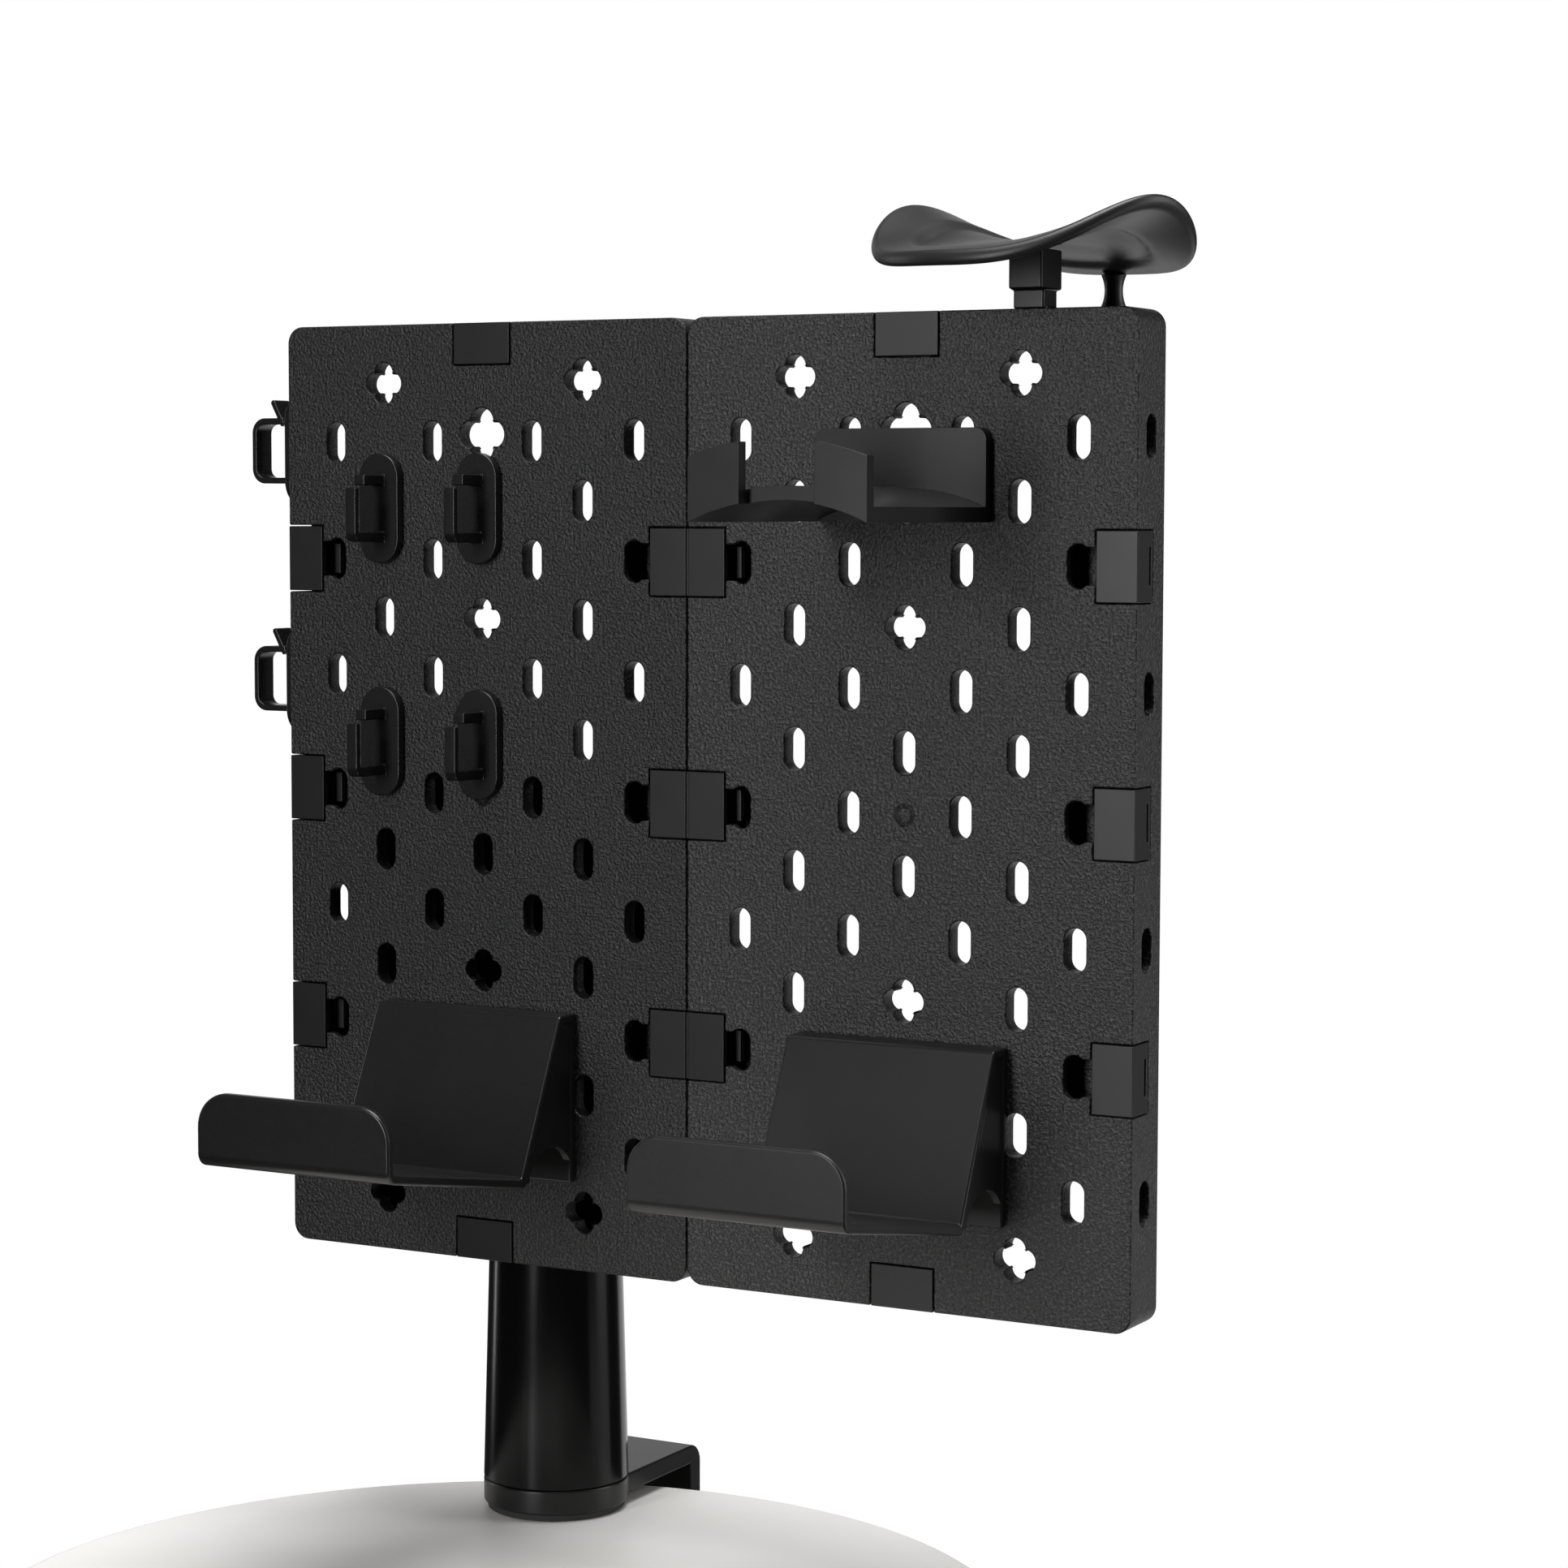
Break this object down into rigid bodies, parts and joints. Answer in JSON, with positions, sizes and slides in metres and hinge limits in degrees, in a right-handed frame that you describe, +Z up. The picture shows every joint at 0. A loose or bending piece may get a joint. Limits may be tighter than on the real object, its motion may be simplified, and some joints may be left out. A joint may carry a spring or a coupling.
{
  "type": "desk-clamp pegboard organiser",
  "caption": "Slotted pegboard panels on a swivelling desk-clamp post, with lift-off cable clips, angled device trays, an arched cradle and a saddle-shaped headphone rest.",
  "frame": {"origin": "desk face under the post axis: the underside of the clamp's upper pad", "axes": "+Z up along the post, -Y out of the board's slotted front, +X along the board to the viewer's right"},
  "size_m": [0.3081, 0.2032, 0.5214],
  "materials": {
    "panel": "fine-grained satin ABS",
    "cap": "smooth matte ABS",
    "plate": "matte black powder coat",
    "bracket": "satin black powder coat",
    "fastener": "zinc plated",
    "bush": "natural acetal",
    "tube": "satin black tube",
    "sleeve": "gloss black",
    "trim": "smooth black plastic",
    "clamp": "semi-gloss black",
    "pad": "matte rubber",
    "foot": "dark zinc",
    "screw": "bright zinc",
    "knob": "satin plastic",
    "clip": "semi-gloss plastic",
    "tray": "semi-gloss plastic",
    "cradle": "satin plastic",
    "rest": "satin plastic"
  },
  "bodies": {
    "base": {"core_tube": "tube", "core_plug": "trim", "stop_ring": "bracket", "stop_screw": "fastener", "post_sleeve": "sleeve", "sleeve_cap": "trim", "clamp_body": "clamp", "desk_pad": "pad", "post_bolt": "fastener", "lower_jaw": "clamp", "jaw_bolts": "fastener", "jaw_nut": "fastener"},
    "board": {"left_panel": "panel", "right_panel": "panel", "join_clip_top": "cap", "join_clip_middle": "cap", "join_clip_bottom": "cap", "cap_left_top": "cap", "cap_left_middle": "cap", "cap_left_bottom": "cap", "cap_right_top": "cap", "cap_right_middle": "cap", "cap_right_bottom": "cap", "cap_upper_left": "cap", "cap_upper_right": "cap", "cap_lower_left": "cap", "cap_lower_right": "cap", "mount_plate": "plate", "plate_screws": "fastener", "swivel_bracket": "bracket", "bracket_bolts": "fastener", "swivel_bush": "bush"},
    "foot": {"clamp_foot": "foot", "foot_pad": "pad"},
    "screw": {"clamp_screw": "screw", "clamp_knob": "knob"},
    "clip_1": {"cable_clip_1": "clip"},
    "clip_2": {"cable_clip_2": "clip"},
    "clip_3": {"cable_clip_3": "clip"},
    "clip_4": {"cable_clip_4": "clip"},
    "edge_1": {"edge_clip_1": "clip"},
    "edge_2": {"edge_clip_2": "clip"},
    "tray_l": {"tray_left": "tray"},
    "tray_r": {"tray_right": "tray"},
    "cradle_body": {"cradle": "cradle"},
    "rest_body": {"rest_post": "rest", "rest_saddle": "rest", "rest_peg": "rest"}
  },
  "joints": [
    {"name": "board_swivel", "type": "hinge", "parent": "base", "child": "board", "pos_m": [0, 0, 0.158], "axis": [0, 0, 1], "range_deg": [-90, 90]},
    {"name": "foot_slide", "type": "slide", "parent": "base", "child": "foot", "axis": [0, 0, 1], "range_m": [-0.029, 0.017]},
    {"name": "screw_turn", "type": "hinge", "parent": "foot", "child": "screw", "pos_m": [0, 0.01, -0.07], "axis": [0, 0, 1], "range_deg": [-3480, 2040]},
    {"name": "clip_1_lift", "type": "slide", "parent": "board", "child": "clip_1", "axis": [0, 0, 1], "range_m": [0, 0.0037]},
    {"name": "clip_2_lift", "type": "slide", "parent": "board", "child": "clip_2", "axis": [0, 0, 1], "range_m": [0, 0.0037]},
    {"name": "clip_3_lift", "type": "slide", "parent": "board", "child": "clip_3", "axis": [0, 0, 1], "range_m": [0, 0.0037]},
    {"name": "clip_4_lift", "type": "slide", "parent": "board", "child": "clip_4", "axis": [0, 0, 1], "range_m": [0, 0.0037]},
    {"name": "edge_1_lift", "type": "slide", "parent": "board", "child": "edge_1", "axis": [0, 0, 1], "range_m": [0, 0.0037]},
    {"name": "edge_2_lift", "type": "slide", "parent": "board", "child": "edge_2", "axis": [0, 0, 1], "range_m": [0, 0.0037]},
    {"name": "tray_l_lift", "type": "slide", "parent": "board", "child": "tray_l", "axis": [0, 0, 1], "range_m": [0, 0.0037]},
    {"name": "tray_r_lift", "type": "slide", "parent": "board", "child": "tray_r", "axis": [0, 0, 1], "range_m": [0, 0.0037]},
    {"name": "cradle_lift", "type": "slide", "parent": "board", "child": "cradle_body", "axis": [0, 0, 1], "range_m": [0, 0.0037]},
    {"name": "rest_lift", "type": "slide", "parent": "board", "child": "rest_body", "axis": [0, 0, 1], "range_m": [0, 0.01]}
  ],
  "couplings": [
    {"joint": "screw_turn", "follows": "foot_slide", "rad_per_m": 2094.4}
  ]
}
